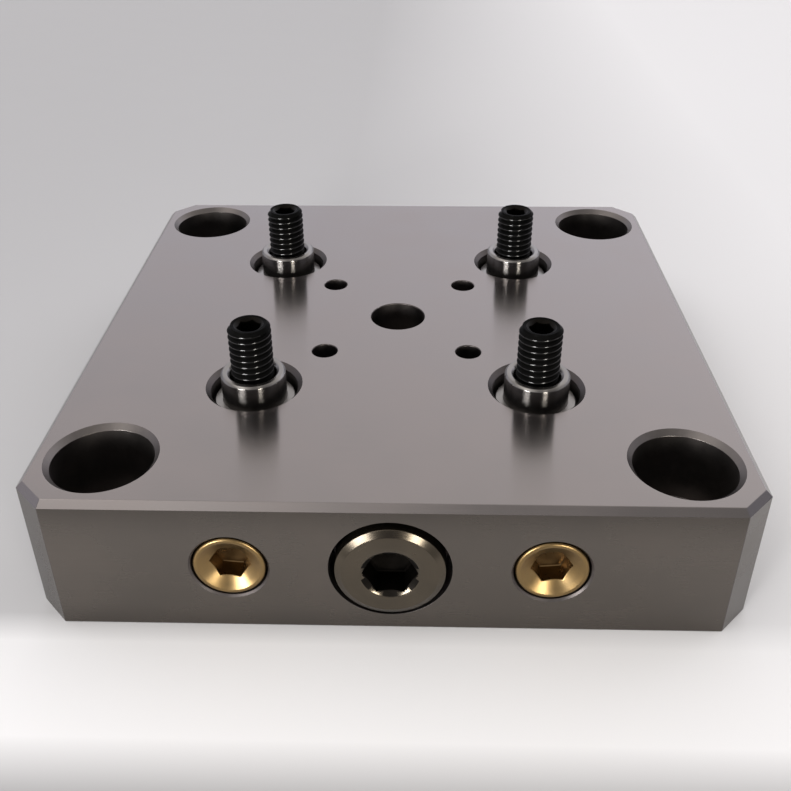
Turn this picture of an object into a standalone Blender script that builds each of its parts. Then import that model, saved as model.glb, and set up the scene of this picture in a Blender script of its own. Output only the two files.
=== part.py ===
"""Zero-point base plate with four pull studs, the base that a self-centering vise is clamped on.

Units are metres.  The plate lies flat with its underside at z = 0, X runs along the front
face, +Y points to the rear and +Z is up.  The origin is in the middle of the underside.
Turning the drive spindle spreads two yokes, whose locking pins slide into the necks of the
four pull studs and hold them down.
"""

import math

import bmesh
import bpy
from mathutils import Matrix

MM = 0.001

# Plate
PLATE_SIDE = 120.0 * MM
PLATE_THICKNESS = 26.0 * MM
CORNER_CHAMFER = 5.0 * MM
TOP_EDGE_CHAMFER = 1.1 * MM

# Gaps between pieces
FIT_GAP = 0.3 * MM
SLIDE_GAP = 0.4 * MM

# Bolt holes in the corners
BOLT_INSET = 12.0 * MM
BOLT_HEAD_RADIUS = 8.5 * MM
BOLT_HEAD_RIM = 0.95 * MM
BOLT_HEAD_DEPTH = 14.0 * MM
BOLT_SHANK_RADIUS = 5.5 * MM

# Holes round the middle of the top face, with the metal left under them
CENTRE_HOLE_RADIUS = 5.5 * MM
CENTRE_HOLE_RIM = 0.15 * MM
CENTRE_HOLE_WEB = 1.0 * MM
SMALL_HOLE_SPACING = 28.0 * MM
SMALL_HOLE_RADIUS = 2.45 * MM
SMALL_HOLE_WEB = 1.5 * MM

# Pull studs and their pockets
STUD_SPACING = 52.0 * MM
STUD_RADIUS = 7.7 * MM
STUD_BORE_RIM = 0.9 * MM
STUD_FLOOR_WALL = 2.6 * MM
STUD_SINK = 2.6 * MM
STUD_FOOT_SLOPE = 1.0 * MM
STUD_SHOULDER_SLOPE = 1.2 * MM
STUD_EDGE = 0.4 * MM
COLLAR_RADIUS = 5.95 * MM
COLLAR_STANDING = 3.0 * MM
COLLAR_EDGE = 0.4 * MM

# Set screws in the pull studs
SCREW_RADIUS = 4.0 * MM
SCREW_LENGTH = 16.0 * MM
SCREW_STANDING = 12.8 * MM
SCREW_PITCH = 1.25 * MM
SCREW_THREAD_HEIGHT = 0.68 * MM
SCREW_TIP = 0.9 * MM
SCREW_END_ROOM = 1.8 * MM
SCREW_KEY = 4.0 * MM
SCREW_KEY_DEPTH = 4.5 * MM

# Locking pins, and how far they travel into the studs' necks
LOCK_TRAVEL = 3.125 * MM
PIN_RADIUS = 3.5 * MM
PIN_TIP = 0.8 * MM
PIN_SETBACK = 0.2 * MM
PIN_NECK_RADIUS = 2.0 * MM

# Yokes and the chamber that they slide in.  The chamber takes a share of the room between the
# studs, the gap between the yokes a share of the chamber, and the neck and head of a pin a
# share of the yoke's depth.
CHAMBER_SHARE = 0.75
YOKE_GAP_SHARE = 0.15
PIN_NECK_SHARE = 0.42
PIN_HEAD_SHARE = 0.37
YOKE_END_WALL = 1.5 * MM
YOKE_NUT_WALL = 1.2 * MM
YOKE_ROUNDING = 4.0 * MM

# Drive spindle, along Y at mid height
DRIVE_THREAD_RADIUS = 4.0 * MM
DRIVE_RELIEF_RADIUS = 3.4 * MM
DRIVE_RELIEF_LENGTH = 3.0 * MM
SHANK_RADIUS = 6.0 * MM
HEAD_OVER_SHANK = 2.98 * MM
HEAD_LENGTH = 6.0 * MM
HEAD_STANDING = 1.1 * MM
HEAD_CHAMFER_WIDTH = 1.15 * MM
HEAD_CHAMFER_DEPTH = 0.4 * MM
HEAD_KEY = 8.0 * MM
HEAD_KEY_DEPTH = 5.0 * MM
RECESS_GAP = 1.02 * MM
WASHER_THICKNESS = 1.4 * MM
TAIL_RADIUS = 3.4 * MM
BUSH_WALL = 1.8 * MM
BUSH_LENGTH = 8.0 * MM

# Retaining ring and shim, in a bay behind the front shank
SHIM_OVER_SHANK = 2.6 * MM
SHIM_THICKNESS = 1.2 * MM
RING_OVER_SHANK = 2.4 * MM
RING_THICKNESS = 1.2 * MM
RING_GROOVE_DEPTH = 1.0 * MM
RING_SHOULDER = 1.2 * MM
BAY_ROUNDING = 1.8 * MM

# Brass plugs in the front face
PLUG_RADIUS = 5.95 * MM
PLUG_LENGTH = 7.5 * MM
PLUG_SINK = 0.1 * MM
PLUG_MOUTH_RIM = 0.35 * MM
PLUG_KEY = 6.0 * MM
PLUG_KEY_DEPTH = 4.5 * MM
PLUG_CONE_RADIUS = 5.1 * MM
PLUG_CONE_DEPTH = 1.2 * MM

# Bottom cover, flush with the underside
COVER_THICKNESS = 2.7 * MM
COVER_LEDGE_X = 8.6 * MM
COVER_LEDGE_Y = 2.0 * MM
COVER_ROUNDING = 4.0 * MM
COVER_SCREW_INSET = 4.0 * MM
COVER_SCREW_SINK = 0.2 * MM
COVER_SCREW_RADIUS = 1.5 * MM
COVER_SCREW_LENGTH = 7.5 * MM
COVER_SCREW_HEAD_RADIUS = 2.9 * MM
COVER_SCREW_KEY = 2.0 * MM
COVER_SCREW_KEY_DEPTH = 1.0 * MM

# Facets round a full turn
FACETS_HOLE = 32
FACETS_STUD = 24
FACETS_SCREW = 16

# The key holes in the front face have two corners level with the drive axis
KEY_TURN = math.pi / 6

# How far a cutter runs past the face that it starts from
OVERRUN = 1.0 * MM

# Heights and places that follow from the sizes above
AXIS_Z = PLATE_THICKNESS / 2
FRONT_Y = -PLATE_SIDE / 2
BOLT_SPACING = PLATE_SIDE - 2 * BOLT_INSET
HEAD_RADIUS = SHANK_RADIUS + HEAD_OVER_SHANK
SHIM_RADIUS = SHANK_RADIUS + SHIM_OVER_SHANK
RING_RADIUS = SHANK_RADIUS + RING_OVER_SHANK
HEAD_FACE_Y = FRONT_Y - HEAD_STANDING
HEAD_BACK_Y = HEAD_FACE_Y + HEAD_LENGTH
RECESS_RADIUS = HEAD_RADIUS + RECESS_GAP
RECESS_FLOOR_Y = HEAD_BACK_Y + WASHER_THICKNESS + 2 * FIT_GAP
STUD_BORE_RADIUS = STUD_RADIUS + FIT_GAP
STUD_NEAR_WALL_Y = STUD_SPACING / 2 - STUD_BORE_RADIUS
PIN_BORE_RADIUS = PIN_RADIUS + FIT_GAP
PIN_TIP_Y = STUD_NEAR_WALL_Y - PIN_SETBACK
STUD_NECK_RADIUS = STUD_SPACING / 2 - PIN_TIP_Y - LOCK_TRAVEL - FIT_GAP
CHAMBER_HALF_DEPTH = STUD_NEAR_WALL_Y * CHAMBER_SHARE
YOKE_OUTER_Y = CHAMBER_HALF_DEPTH - LOCK_TRAVEL - FIT_GAP
YOKE_HALF_GAP = CHAMBER_HALF_DEPTH * YOKE_GAP_SHARE
YOKE_DEPTH = YOKE_OUTER_Y - YOKE_HALF_GAP
PIN_NECK_LENGTH = YOKE_DEPTH * PIN_NECK_SHARE
PIN_HEAD_LENGTH = YOKE_DEPTH * PIN_HEAD_SHARE
YOKE_LENGTH = STUD_SPACING + 2 * (PIN_RADIUS + YOKE_END_WALL)
YOKE_TOP_Z = AXIS_Z + DRIVE_THREAD_RADIUS + YOKE_NUT_WALL
YOKE_BOTTOM_Z = AXIS_Z - DRIVE_THREAD_RADIUS - YOKE_NUT_WALL
CHAMBER_TOP_Z = YOKE_TOP_Z + FIT_GAP
CENTRE_HOLE_FLOOR_Z = CHAMBER_TOP_Z + CENTRE_HOLE_WEB
SMALL_HOLE_FLOOR_Z = CHAMBER_TOP_Z + SMALL_HOLE_WEB
BAY_FRONT_Y = -CHAMBER_HALF_DEPTH - SHIM_THICKNESS - RING_THICKNESS - RING_SHOULDER - 3 * FIT_GAP
BAY_HALF_WIDTH = SHIM_RADIUS + BAY_ROUNDING
RING_Y = BAY_FRONT_Y + FIT_GAP + SHIM_THICKNESS + FIT_GAP
COVER_SEAT_Z = COVER_THICKNESS + FIT_GAP
COVER_LENGTH = YOKE_LENGTH + 2 * (SLIDE_GAP + COVER_LEDGE_X)
COVER_WIDTH = 2 * (COVER_LEDGE_Y - BAY_FRONT_Y)
COVER_SCREW_X = COVER_LENGTH / 2 - COVER_SCREW_INSET
COVER_SCREW_Y = COVER_WIDTH / 2 - COVER_SCREW_INSET
COVER_SCREW_SLOPE = COVER_SCREW_HEAD_RADIUS - COVER_SCREW_RADIUS
STUD_FLOOR_Z = COVER_SEAT_Z + STUD_FLOOR_WALL
COLLAR_TOP_Z = PLATE_THICKNESS + COLLAR_STANDING
SCREW_TOP_Z = PLATE_THICKNESS + SCREW_STANDING
SCREW_BOTTOM_Z = SCREW_TOP_Z - SCREW_LENGTH
SQUARE = ((-1, -1, "front_left"), (1, -1, "front_right"), (-1, 1, "rear_left"), (1, 1, "rear_right"))
SIDES = ((-1, "left"), (1, "right"))


def clear_scene():
    for thing in list(bpy.data.objects):
        bpy.data.objects.remove(thing, do_unlink=True)


def make_collection(name):
    collection = bpy.data.collections.new(name)
    bpy.context.scene.collection.children.link(collection)
    return collection


def make_material(name, colour, roughness, metallic):
    material = bpy.data.materials.new(name)
    material.use_nodes = True
    shader = material.node_tree.nodes["Principled BSDF"]
    shader.inputs["Base Color"].default_value = (*colour, 1.0)
    shader.inputs["Roughness"].default_value = roughness
    shader.inputs["Metallic"].default_value = metallic
    material.diffuse_color = (*colour, 1.0)
    return material


def ground_steel():
    return make_material("ground_steel", (0.33, 0.31, 0.31), 0.38, 1.0)


def polished_steel():
    return make_material("polished_steel", (0.62, 0.61, 0.60), 0.12, 1.0)


def black_steel():
    return make_material("black_steel", (0.012, 0.012, 0.013), 0.35, 0.6)


def dark_steel():
    return make_material("dark_steel", (0.20, 0.19, 0.18), 0.32, 1.0)


def brass():
    return make_material("brass", (0.78, 0.56, 0.25), 0.25, 1.0)


def bronze():
    return make_material("bronze", (0.60, 0.40, 0.22), 0.35, 1.0)


def spring_steel():
    return make_material("spring_steel", (0.16, 0.16, 0.18), 0.30, 1.0)


def add_object(name, mesh, collection, material=None):
    thing = bpy.data.objects.new(name, mesh)
    collection.objects.link(thing)
    if material is not None:
        mesh.materials.append(material)
    return thing


def shade(mesh):
    """Round faces read smooth, and edges sharper than 30 degrees stay crisp."""
    mesh.shade_smooth()
    mesh.set_sharp_from_angle(angle=math.radians(30))


def turned(name, profile, facets, collection, material=None, closed=False):
    """A turned piece round its own Z: the profile holds (radius, height) from top to bottom."""
    mesh = bpy.data.meshes.new(name)
    points = [(radius, 0.0, height) for radius, height in profile]
    edges = [(i, i + 1) for i in range(len(points) - 1)]
    if closed:
        edges.append((len(points) - 1, 0))
    mesh.from_pydata(points, edges, [])
    thing = add_object(name, mesh, collection, material)
    screw = thing.modifiers.new("turn", "SCREW")
    screw.angle = math.tau
    screw.steps = facets
    screw.render_steps = facets
    screw.use_merge_vertices = True
    screw.merge_threshold = 1e-6
    screw.use_smooth_shade = True
    return thing


def block(name, low, high, collection, material=None, rounding=0.0, segments=4):
    """A box between two corners, with its upright edges rounded."""
    shape = bmesh.new()
    bmesh.ops.create_cube(shape, size=1.0)
    for vertex in shape.verts:
        for axis in range(3):
            middle = (low[axis] + high[axis]) / 2
            vertex.co[axis] = middle + vertex.co[axis] * (high[axis] - low[axis])
    if rounding > 0:
        upright = [e for e in shape.edges if abs(e.verts[0].co.z - e.verts[1].co.z) > 1e-6]
        bmesh.ops.bevel(shape, geom=upright, offset=rounding, segments=segments, profile=0.5, affect="EDGES")
    mesh = bpy.data.meshes.new(name)
    shape.to_mesh(mesh)
    shape.free()
    return add_object(name, mesh, collection, material)


def hex_prism(name, across_flats, bottom, top, collection, corner_turn=0.0):
    """A six-sided key hole shape round its own Z, from one height to another."""
    shape = bmesh.new()
    radius = across_flats / 2 / math.cos(math.pi / 6)
    bmesh.ops.create_cone(shape, cap_ends=True, segments=6, radius1=radius, radius2=radius, depth=top - bottom)
    for vertex in shape.verts:
        vertex.co.z += (top + bottom) / 2
    bmesh.ops.rotate(shape, verts=shape.verts, cent=(0, 0, 0), matrix=Matrix.Rotation(corner_turn, 3, "Z"))
    mesh = bpy.data.meshes.new(name)
    shape.to_mesh(mesh)
    shape.free()
    return add_object(name, mesh, collection)


def cut(target, cutter):
    """Takes the cutter's shape out of the target."""
    cutter.hide_render = True
    cutter.display_type = "WIRE"
    boolean = target.modifiers.new("cut_" + cutter.name, "BOOLEAN")
    boolean.operation = "DIFFERENCE"
    boolean.solver = "EXACT"
    boolean.object = cutter


def lay_along_y(thing):
    """Turns a piece so that its own Z points to the rear."""
    thing.rotation_euler = (-math.pi / 2, 0.0, 0.0)


def place(thing, x, y, z):
    thing.location = (x, y, z)


def bolt_hole(cutters, label):
    return turned(
        "cut_bolt_hole_" + label,
        [
            (0.0, PLATE_THICKNESS + OVERRUN),
            (BOLT_HEAD_RADIUS + BOLT_HEAD_RIM + OVERRUN, PLATE_THICKNESS + OVERRUN),
            (BOLT_HEAD_RADIUS, PLATE_THICKNESS - BOLT_HEAD_RIM),
            (BOLT_HEAD_RADIUS, PLATE_THICKNESS - BOLT_HEAD_DEPTH),
            (BOLT_SHANK_RADIUS, PLATE_THICKNESS - BOLT_HEAD_DEPTH),
            (BOLT_SHANK_RADIUS, -OVERRUN),
            (0.0, -OVERRUN),
        ],
        FACETS_HOLE,
        cutters,
    )


def stud_bore(cutters, label):
    return turned(
        "cut_stud_bore_" + label,
        [
            (0.0, PLATE_THICKNESS + OVERRUN),
            (STUD_BORE_RADIUS + STUD_BORE_RIM + OVERRUN, PLATE_THICKNESS + OVERRUN),
            (STUD_BORE_RADIUS, PLATE_THICKNESS - STUD_BORE_RIM),
            (STUD_BORE_RADIUS, STUD_FLOOR_Z),
            (0.0, STUD_FLOOR_Z),
        ],
        FACETS_HOLE,
        cutters,
    )


def blind_hole(cutters, label, radius, rim, floor, facets):
    return turned(
        "cut_" + label,
        [
            (0.0, PLATE_THICKNESS + OVERRUN),
            (radius + rim + OVERRUN, PLATE_THICKNESS + OVERRUN),
            (radius, PLATE_THICKNESS - rim),
            (radius, floor),
            (0.0, floor),
        ],
        facets,
        cutters,
    )


def spindle_bore(cutters):
    """Recess, shank bore and rear bush bore, on the drive axis."""
    front = turned(
        "cut_spindle_front",
        [
            (0.0, BAY_FRONT_Y + SHIM_THICKNESS),
            (SHANK_RADIUS + FIT_GAP, BAY_FRONT_Y + SHIM_THICKNESS),
            (SHANK_RADIUS + FIT_GAP, RECESS_FLOOR_Y),
            (RECESS_RADIUS, RECESS_FLOOR_Y),
            (RECESS_RADIUS, FRONT_Y - OVERRUN),
            (0.0, FRONT_Y - OVERRUN),
        ],
        FACETS_HOLE,
        cutters,
    )
    bush_bore = TAIL_RADIUS + BUSH_WALL + 2 * FIT_GAP
    bush_end = CHAMBER_HALF_DEPTH + BUSH_LENGTH + 2 * FIT_GAP
    rear = turned(
        "cut_spindle_rear",
        [
            (0.0, bush_end),
            (bush_bore, bush_end),
            (bush_bore, CHAMBER_HALF_DEPTH - OVERRUN),
            (0.0, CHAMBER_HALF_DEPTH - OVERRUN),
        ],
        FACETS_STUD,
        cutters,
    )
    for cutter in (front, rear):
        lay_along_y(cutter)
        place(cutter, 0.0, 0.0, AXIS_Z)
    return front, rear


def pin_bore(cutters, side, label):
    """One line of drilling from the front face to the rear stud, plugged at the front."""
    wall = PLUG_RADIUS + FIT_GAP
    plug_end_y = FRONT_Y + PLUG_SINK + PLUG_LENGTH + FIT_GAP
    cutter = turned(
        "cut_pin_bore_" + label,
        [
            (0.0, STUD_SPACING / 2),
            (PIN_BORE_RADIUS, STUD_SPACING / 2),
            (PIN_BORE_RADIUS, plug_end_y),
            (wall, plug_end_y),
            (wall, FRONT_Y + PLUG_MOUTH_RIM),
            (wall + PLUG_MOUTH_RIM + OVERRUN, FRONT_Y - OVERRUN),
            (0.0, FRONT_Y - OVERRUN),
        ],
        FACETS_STUD,
        cutters,
    )
    lay_along_y(cutter)
    place(cutter, side * STUD_SPACING / 2, 0.0, AXIS_Z)
    return cutter


def chamber(cutters):
    half_length = YOKE_LENGTH / 2 + SLIDE_GAP
    main = block(
        "cut_chamber",
        (-half_length, -CHAMBER_HALF_DEPTH, 0.0),
        (half_length, CHAMBER_HALF_DEPTH, CHAMBER_TOP_Z),
        cutters,
        rounding=YOKE_ROUNDING,
    )
    bay = block(
        "cut_ring_bay",
        (-BAY_HALF_WIDTH, BAY_FRONT_Y, 0.0),
        (BAY_HALF_WIDTH, -CHAMBER_HALF_DEPTH + BAY_ROUNDING, AXIS_Z + SHIM_RADIUS + 2 * FIT_GAP),
        cutters,
        rounding=BAY_ROUNDING,
        segments=2,
    )
    seat = block(
        "cut_cover_seat",
        (-COVER_LENGTH / 2 - FIT_GAP, -COVER_WIDTH / 2 - FIT_GAP, -OVERRUN),
        (COVER_LENGTH / 2 + FIT_GAP, COVER_WIDTH / 2 + FIT_GAP, COVER_SEAT_Z),
        cutters,
        rounding=COVER_ROUNDING + FIT_GAP,
    )
    return main, bay, seat


def cover_screw_hole(cutters, label):
    return turned(
        "cut_cover_screw_" + label,
        [
            (0.0, COVER_SCREW_SINK + COVER_SCREW_LENGTH + FIT_GAP),
            (COVER_SCREW_RADIUS + FIT_GAP, COVER_SCREW_SINK + COVER_SCREW_LENGTH + FIT_GAP),
            (COVER_SCREW_RADIUS + FIT_GAP, 0.0),
            (0.0, 0.0),
        ],
        FACETS_SCREW,
        cutters,
    )


def plate_blank(parts, material):
    """Square slab with its four corners cut at 45 degrees and its top edges broken."""
    half = PLATE_SIDE / 2
    plate = block("base_plate", (-half, -half, 0.0), (half, half, PLATE_THICKNESS), parts, material)
    shape = bmesh.new()
    shape.from_mesh(plate.data)
    upright = [e for e in shape.edges if abs(e.verts[0].co.z - e.verts[1].co.z) > 1e-6]
    bmesh.ops.bevel(shape, geom=upright, offset=CORNER_CHAMFER, segments=1, affect="EDGES")
    rim = [e for e in shape.edges if all(v.co.z > PLATE_THICKNESS - 1e-6 for v in e.verts)]
    bmesh.ops.bevel(shape, geom=rim, offset=TOP_EDGE_CHAMFER, segments=1, affect="EDGES")
    shape.to_mesh(plate.data)
    shape.free()
    return plate


def base_plate(parts, cutters, material):
    plate = plate_blank(parts, material)
    main, bay, seat = chamber(cutters)
    for cutter in (main, bay, seat):
        cut(plate, cutter)
    front, rear = spindle_bore(cutters)
    cut(plate, front)
    cut(plate, rear)
    for side, label in SIDES:
        cut(plate, pin_bore(cutters, side, label))
    for sx, sy, label in SQUARE:
        hole = stud_bore(cutters, label)
        place(hole, sx * STUD_SPACING / 2, sy * STUD_SPACING / 2, 0.0)
        cut(plate, hole)
        hole = bolt_hole(cutters, label)
        place(hole, sx * BOLT_SPACING / 2, sy * BOLT_SPACING / 2, 0.0)
        cut(plate, hole)
        hole = blind_hole(cutters, "small_" + label, SMALL_HOLE_RADIUS, 0.0, SMALL_HOLE_FLOOR_Z, FACETS_SCREW)
        place(hole, sx * SMALL_HOLE_SPACING / 2, sy * SMALL_HOLE_SPACING / 2, 0.0)
        cut(plate, hole)
        hole = cover_screw_hole(cutters, label)
        place(hole, sx * COVER_SCREW_X, sy * COVER_SCREW_Y, 0.0)
        cut(plate, hole)
    cut(plate, blind_hole(cutters, "centre", CENTRE_HOLE_RADIUS, CENTRE_HOLE_RIM, CENTRE_HOLE_FLOOR_Z, FACETS_STUD))
    return plate


def countersink(cutters, label):
    wide = COVER_SCREW_HEAD_RADIUS + FIT_GAP
    return turned(
        "cut_countersink_" + label,
        [
            (0.0, COVER_SEAT_Z + OVERRUN),
            (COVER_SCREW_RADIUS + FIT_GAP, COVER_SEAT_Z + OVERRUN),
            (COVER_SCREW_RADIUS + FIT_GAP, COVER_SCREW_SINK + COVER_SCREW_SLOPE),
            (wide, COVER_SCREW_SINK),
            (wide, -OVERRUN),
            (0.0, -OVERRUN),
        ],
        FACETS_SCREW,
        cutters,
    )


def bottom_cover(parts, cutters, material):
    cover = block(
        "bottom_cover",
        (-COVER_LENGTH / 2, -COVER_WIDTH / 2, 0.0),
        (COVER_LENGTH / 2, COVER_WIDTH / 2, COVER_THICKNESS),
        parts,
        material,
        rounding=COVER_ROUNDING,
    )
    for sx, sy, label in SQUARE:
        hole = countersink(cutters, label)
        place(hole, sx * COVER_SCREW_X, sy * COVER_SCREW_Y, 0.0)
        cut(cover, hole)
    return cover


def cover_screw(parts, cutters, material, label):
    """Countersunk screw, head down, its own Z up from the head's face."""
    end = COVER_SCREW_SLOPE / 4
    screw = turned(
        "cover_screw_" + label,
        [
            (0.0, COVER_SCREW_LENGTH),
            (COVER_SCREW_RADIUS - end, COVER_SCREW_LENGTH),
            (COVER_SCREW_RADIUS, COVER_SCREW_LENGTH - end),
            (COVER_SCREW_RADIUS, COVER_SCREW_SLOPE),
            (COVER_SCREW_HEAD_RADIUS, 0.0),
            (0.0, 0.0),
        ],
        FACETS_SCREW,
        parts,
        material,
    )
    key = hex_prism("cut_cover_key_" + label, COVER_SCREW_KEY, -OVERRUN, COVER_SCREW_KEY_DEPTH, cutters)
    key.parent = screw
    cut(screw, key)
    return screw


def drive_spindle(parts, cutters, material):
    """Head, shank, ring groove, left-hand thread, relief, right-hand thread and tail."""
    groove_front = RING_Y - FIT_GAP / 2
    groove_rear = RING_Y + RING_THICKNESS + FIT_GAP / 2
    shank_end = groove_rear + RING_SHOULDER
    tail_start = CHAMBER_HALF_DEPTH + FIT_GAP
    tail_end = tail_start + BUSH_LENGTH - 2 * FIT_GAP
    groove_radius = SHANK_RADIUS - RING_GROOVE_DEPTH
    spindle = turned(
        "drive_spindle",
        [
            (0.0, tail_end),
            (TAIL_RADIUS - FIT_GAP, tail_end),
            (TAIL_RADIUS, tail_end - FIT_GAP),
            (TAIL_RADIUS, tail_start),
            (DRIVE_THREAD_RADIUS, tail_start - FIT_GAP),
            (DRIVE_THREAD_RADIUS, DRIVE_RELIEF_LENGTH / 2),
            (DRIVE_RELIEF_RADIUS, DRIVE_RELIEF_LENGTH / 2 - FIT_GAP),
            (DRIVE_RELIEF_RADIUS, -DRIVE_RELIEF_LENGTH / 2 + FIT_GAP),
            (DRIVE_THREAD_RADIUS, -DRIVE_RELIEF_LENGTH / 2),
            (DRIVE_THREAD_RADIUS, shank_end),
            (SHANK_RADIUS, shank_end),
            (SHANK_RADIUS, groove_rear),
            (groove_radius, groove_rear),
            (groove_radius, groove_front),
            (SHANK_RADIUS, groove_front),
            (SHANK_RADIUS, HEAD_BACK_Y),
            (HEAD_RADIUS, HEAD_BACK_Y),
            (HEAD_RADIUS, HEAD_FACE_Y + HEAD_CHAMFER_DEPTH),
            (HEAD_RADIUS - HEAD_CHAMFER_WIDTH, HEAD_FACE_Y),
            (0.0, HEAD_FACE_Y),
        ],
        FACETS_STUD,
        parts,
        material,
    )
    lay_along_y(spindle)
    place(spindle, 0.0, 0.0, AXIS_Z)
    key = hex_prism("cut_drive_key", HEAD_KEY, HEAD_FACE_Y - OVERRUN, HEAD_FACE_Y + HEAD_KEY_DEPTH, cutters, KEY_TURN)
    key.parent = spindle
    cut(spindle, key)
    return spindle


def washer(name, inner, outer, start_y, thickness, parts, material):
    """Flat ring on the drive axis."""
    ring = turned(
        name,
        [
            (outer, start_y + thickness),
            (outer, start_y),
            (inner, start_y),
            (inner, start_y + thickness),
        ],
        FACETS_STUD,
        parts,
        material,
        closed=True,
    )
    lay_along_y(ring)
    place(ring, 0.0, 0.0, AXIS_Z)
    return ring


def retaining_ring(parts, cutters, material):
    """Open spring ring in the spindle's groove, its gap at the bottom."""
    inner = SHANK_RADIUS - RING_GROOVE_DEPTH + FIT_GAP
    ring = washer("retaining_ring", inner, RING_RADIUS, RING_Y, RING_THICKNESS, parts, material)
    gap = block(
        "cut_ring_gap",
        (-RING_THICKNESS, RING_Y - OVERRUN, AXIS_Z - RING_RADIUS - OVERRUN),
        (RING_THICKNESS, RING_Y + RING_THICKNESS + OVERRUN, AXIS_Z - inner / 2),
        cutters,
    )
    cut(ring, gap)
    return ring


def yoke(parts, cutters, material, side, label):
    """Cross bar on the spindle's thread, with a slot from below for each pin's neck and head."""
    low_y, high_y = sorted((side * YOKE_HALF_GAP, side * YOKE_OUTER_Y))
    bar = block(
        label + "_yoke",
        (-YOKE_LENGTH / 2, low_y, YOKE_BOTTOM_Z),
        (YOKE_LENGTH / 2, high_y, YOKE_TOP_Z),
        parts,
        material,
    )
    shape = bmesh.new()
    shape.from_mesh(bar.data)
    outer = [
        e for e in shape.edges
        if abs(e.verts[0].co.z - e.verts[1].co.z) > 1e-6 and abs(abs(e.verts[0].co.y) - YOKE_OUTER_Y) < 1e-6
    ]
    bmesh.ops.bevel(shape, geom=outer, offset=YOKE_ROUNDING, segments=4, profile=0.5, affect="EDGES")
    shape.to_mesh(bar.data)
    shape.free()
    thread = turned(
        "cut_nut_" + label,
        [
            (0.0, YOKE_OUTER_Y + OVERRUN),
            (DRIVE_THREAD_RADIUS + FIT_GAP, YOKE_OUTER_Y + OVERRUN),
            (DRIVE_THREAD_RADIUS + FIT_GAP, YOKE_HALF_GAP - OVERRUN),
            (0.0, YOKE_HALF_GAP - OVERRUN),
        ],
        FACETS_STUD,
        cutters,
    )
    thread.rotation_euler = (-side * math.pi / 2, 0.0, 0.0)
    place(thread, 0.0, 0.0, AXIS_Z)
    cut(bar, thread)
    for pin_side, pin_label in SIDES:
        for slot in pin_slots(cutters, side, label + "_" + pin_label):
            slot.location.x = pin_side * STUD_SPACING / 2
            cut(bar, slot)
    return bar


def pin_slots(cutters, side, label):
    """Neck slot and head slot, open downwards, rounded on top, for a pin that hooks in from below."""
    neck_outer = YOKE_OUTER_Y + OVERRUN
    neck_inner = YOKE_OUTER_Y - PIN_NECK_LENGTH
    head_inner = neck_inner - PIN_HEAD_LENGTH - 2 * FIT_GAP
    slots = []
    for name, radius, start, end in (
        ("neck", PIN_NECK_RADIUS + FIT_GAP, neck_inner - FIT_GAP, neck_outer),
        ("head", PIN_RADIUS + FIT_GAP, head_inner, neck_inner),
    ):
        low_y, high_y = sorted((side * start, side * end))
        slot = block(
            "cut_" + name + "_slot_" + label,
            (-radius, low_y, YOKE_BOTTOM_Z - OVERRUN),
            (radius, high_y, AXIS_Z + radius),
            cutters,
        )
        round_top(slot, radius)
        slots.append(slot)
    return slots


def round_top(slot, radius):
    """Rounds the two top edges of a slot that run along Y into a half circle."""
    shape = bmesh.new()
    shape.from_mesh(slot.data)
    top = max(v.co.z for v in shape.verts)
    ridge = [
        e for e in shape.edges
        if all(v.co.z > top - 1e-6 for v in e.verts) and abs(e.verts[0].co.y - e.verts[1].co.y) > 1e-6
    ]
    bmesh.ops.bevel(shape, geom=ridge, offset=radius * 0.96, segments=3, profile=0.5, affect="EDGES")
    shape.to_mesh(slot.data)
    shape.free()


def locking_pin(parts, material, side, label):
    """Hardened pin: round nose towards the stud, neck and head hooked in the yoke."""
    neck_outer = YOKE_OUTER_Y + FIT_GAP
    neck_inner = YOKE_OUTER_Y - PIN_NECK_LENGTH - FIT_GAP
    head_inner = neck_inner - PIN_HEAD_LENGTH
    pin = turned(
        "locking_pin_" + label,
        [
            (0.0, PIN_TIP_Y),
            (PIN_RADIUS - PIN_TIP, PIN_TIP_Y),
            (PIN_RADIUS, PIN_TIP_Y - PIN_TIP),
            (PIN_RADIUS, neck_outer),
            (PIN_NECK_RADIUS, neck_outer),
            (PIN_NECK_RADIUS, neck_inner),
            (PIN_RADIUS, neck_inner),
            (PIN_RADIUS, head_inner),
            (0.0, head_inner),
        ],
        FACETS_SCREW,
        parts,
        material,
    )
    pin.rotation_euler = (-side * math.pi / 2, 0.0, 0.0)
    return pin


def brass_plug(parts, cutters, material, side, label):
    """Threaded plug with a coned mouth round its key hole, its own Z pointing into the plate."""
    edge = FIT_GAP
    plug = turned(
        "brass_plug_" + label,
        [
            (0.0, PLUG_LENGTH),
            (PLUG_RADIUS - 2 * edge, PLUG_LENGTH),
            (PLUG_RADIUS, PLUG_LENGTH - 2 * edge),
            (PLUG_RADIUS, edge),
            (PLUG_RADIUS - edge, 0.0),
            (PLUG_CONE_RADIUS, 0.0),
            (PLUG_KEY / 2, PLUG_CONE_DEPTH),
            (0.0, PLUG_CONE_DEPTH),
        ],
        FACETS_STUD,
        parts,
        material,
    )
    key = hex_prism("cut_plug_key_" + label, PLUG_KEY, -OVERRUN, PLUG_KEY_DEPTH, cutters, KEY_TURN)
    key.parent = plug
    cut(plug, key)
    lay_along_y(plug)
    place(plug, side * STUD_SPACING / 2, FRONT_Y + PLUG_SINK, AXIS_Z)
    return plug


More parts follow.
